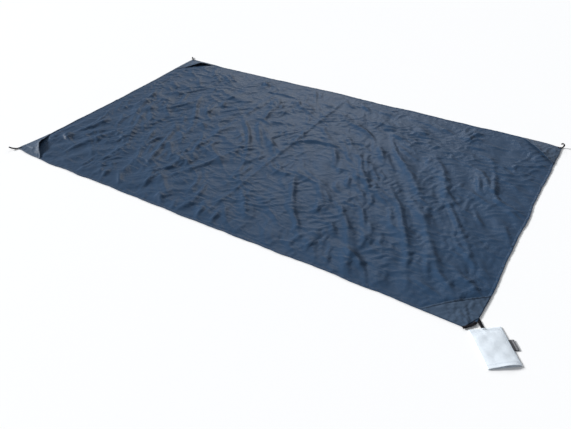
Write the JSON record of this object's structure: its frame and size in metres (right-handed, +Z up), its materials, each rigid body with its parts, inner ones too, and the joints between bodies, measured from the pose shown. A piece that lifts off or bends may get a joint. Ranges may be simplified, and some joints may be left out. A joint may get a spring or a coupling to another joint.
{
  "type": "camp blanket",
  "caption": "Thin rectangular ground sheet with sewn corner pockets and peg loops, and a small flat stuff pouch on a short webbing strap at one corner.",
  "frame": {"origin": "middle of the ground sheet's underside, on the ground", "axes": "+X along the sheet's length towards the corner with the pouch, +Y across its width away from that corner, +Z up"},
  "size_m": [2.1805, 1.3162, 0.033],
  "materials": {
    "sheet_cloth": "thin coated ripstop nylon, slate navy, soft sheen, crinkled",
    "webbing": "black woven webbing, matt",
    "stitching": "dense dark thread",
    "pouch_cloth": "thin coated nylon, pale ice blue, soft sheen",
    "label_cloth": "folded woven tab, charcoal with a light grey edge, blank"
  },
  "bodies": {
    "sheet": {"ground_sheet": "sheet_cloth", "left_pocket": "sheet_cloth", "far_pocket": "sheet_cloth", "right_pocket": "sheet_cloth", "near_pocket": "sheet_cloth", "left_bar_tack": "stitching", "far_bar_tack": "stitching", "right_bar_tack": "stitching", "corner_band": "webbing", "lower_band_tack": "stitching", "upper_band_tack": "stitching"},
    "left_loop": {"left_peg_loop": "webbing"},
    "far_loop": {"far_peg_loop": "webbing"},
    "right_loop": {"right_peg_loop": "webbing"},
    "strap": {"pouch_strap": "webbing"},
    "pouch": {"pouch_back": "pouch_cloth", "pouch_front": "pouch_cloth", "strap_bar_tack": "stitching"},
    "label": {"label_tab": "label_cloth"}
  },
  "joints": [
    {"name": "left_loop_fold", "type": "hinge", "parent": "sheet", "child": "left_loop", "pos_m": [-1.00377, -0.59127, 0.0022], "axis": [-0.7071, 0.7071, 0], "range_deg": [0, 120]},
    {"name": "far_loop_fold", "type": "hinge", "parent": "sheet", "child": "far_loop", "pos_m": [-1.00377, 0.59127, 0.0022], "axis": [0.7071, 0.7071, 0], "range_deg": [0, 120]},
    {"name": "right_loop_fold", "type": "hinge", "parent": "sheet", "child": "right_loop", "pos_m": [1.00377, 0.59127, 0.0022], "axis": [0.7071, -0.7071, 0], "range_deg": [-50, 70]},
    {"name": "strap_fold", "type": "hinge", "parent": "sheet", "child": "strap", "pos_m": [1.00425, -0.54018, 0.0008], "axis": [-0.7793, -0.6266, 0], "range_deg": [0, 75]},
    {"name": "pouch_fold", "type": "hinge", "parent": "strap", "child": "pouch", "pos_m": [1.02305, -0.56356, 0.0008], "axis": [-0.7793, -0.6266, 0], "range_deg": [0, 80]},
    {"name": "label_fold", "type": "hinge", "parent": "pouch", "child": "label", "pos_m": [1.11025, -0.58584, 0.0017], "axis": [0.6266, -0.7793, 0], "range_deg": [0, 100]}
  ]
}
